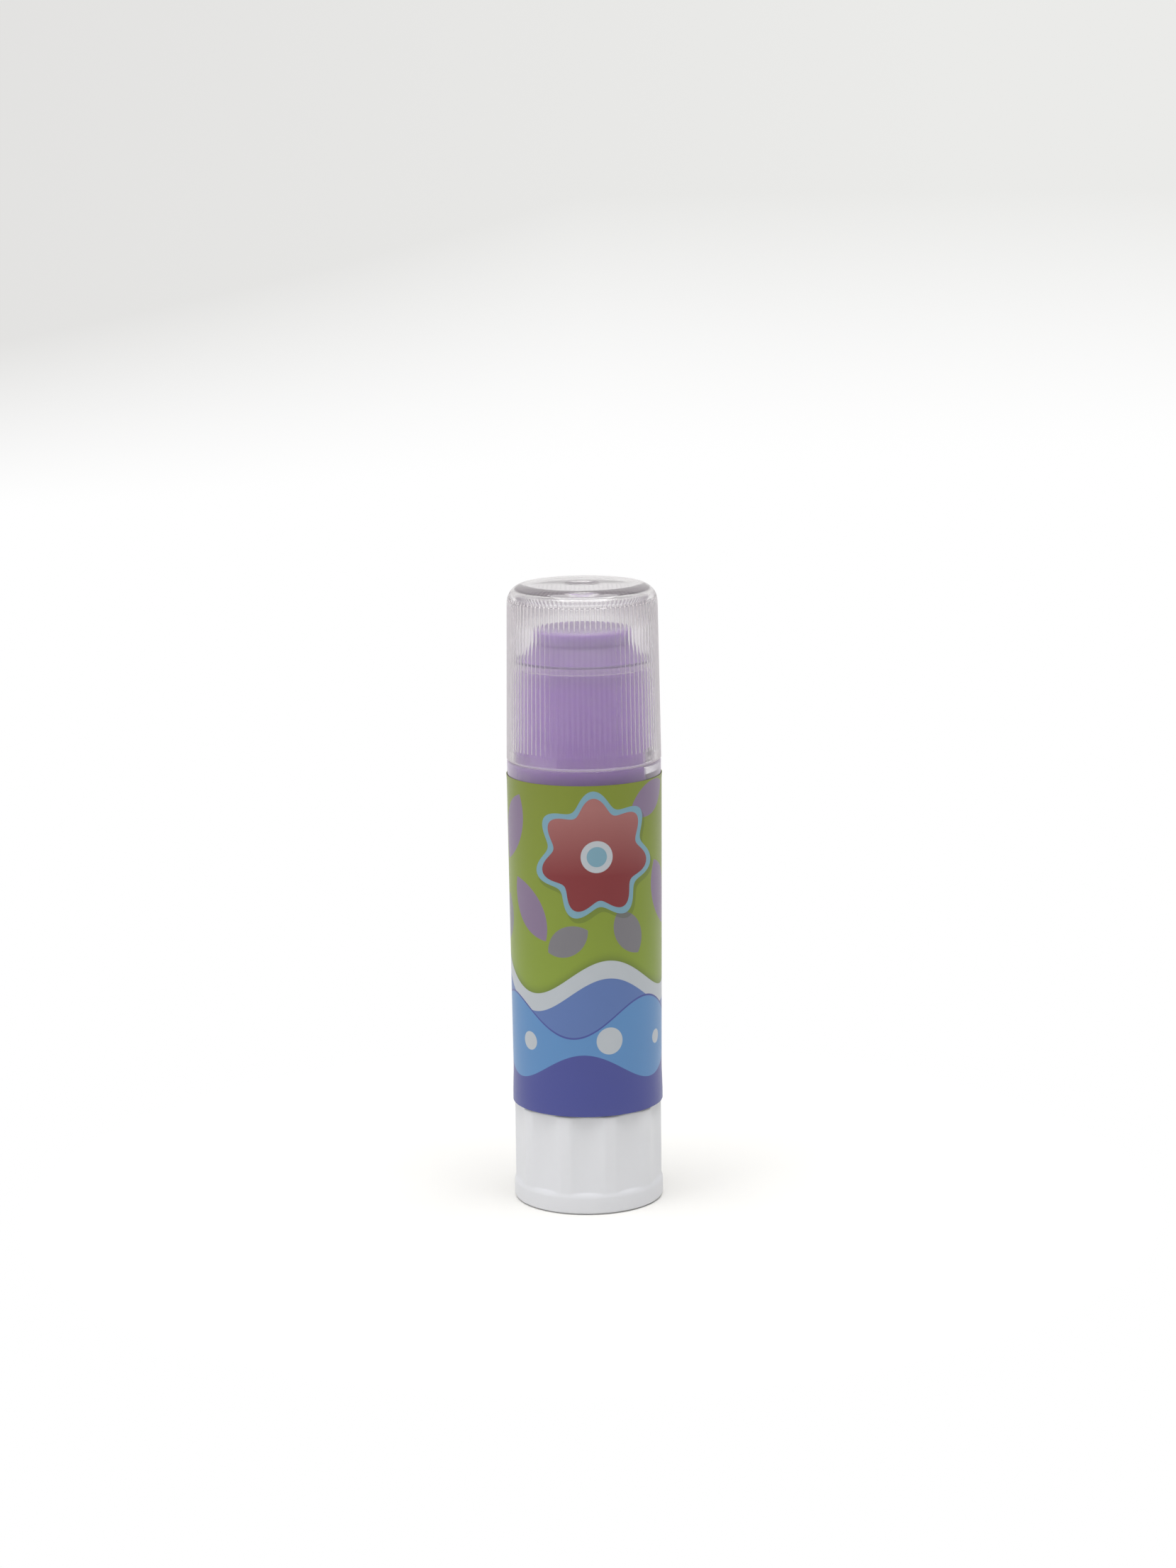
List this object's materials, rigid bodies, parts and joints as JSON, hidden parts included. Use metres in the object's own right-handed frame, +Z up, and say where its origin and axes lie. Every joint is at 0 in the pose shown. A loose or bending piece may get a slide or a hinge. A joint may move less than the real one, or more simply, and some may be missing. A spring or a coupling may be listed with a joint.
{
  "type": "glue stick",
  "caption": "Small glue stick: clear pull-off cap ribbed inside, clear barrel in a printed sleeve, violet gel wound up by a fluted twist knob that it stands on.",
  "frame": {"origin": "centre of the knob's foot, on the surface that the stick stands on", "axes": "+Z up along the stick, -Y towards the side that the picture shows"},
  "size_m": [0.0214, 0.0214, 0.0864],
  "materials": {
    "clear_barrel": "clear, polished inside and out, slightly cloudy",
    "printed_film": "printed film with a satin varnish",
    "clear_cap": "clear, polished outside, fine ribs inside",
    "white_knob": "white, satin as moulded",
    "white_screw": "white, satin as moulded",
    "white_cup": "white, satin as moulded",
    "violet_gel": "soft waxy gel, slightly translucent"
  },
  "bodies": {
    "barrel": {"barrel": "clear_barrel", "label": "printed_film"},
    "cap": {"cap": "clear_cap"},
    "knob": {"knob": "white_knob", "spindle": "white_screw"},
    "carrier": {"follower": "white_cup", "glue_stick": "violet_gel"}
  },
  "joints": [
    {"name": "cap_pull", "type": "slide", "parent": "barrel", "child": "cap", "axis": [0, 0, 1], "range_m": [0, 0.024]},
    {"name": "knob_turn", "type": "hinge", "parent": "barrel", "child": "knob", "pos_m": [0, 0, 0.0139], "axis": [0, 0, 1], "range_deg": [-720, 450]},
    {"name": "glue_advance", "type": "slide", "parent": "barrel", "child": "carrier", "axis": [0, 0, 1], "range_m": [-0.006, 0.00375]}
  ],
  "couplings": [
    {"joint": "glue_advance", "follows": "knob_turn", "m_per_rad": 0.00047746}
  ]
}
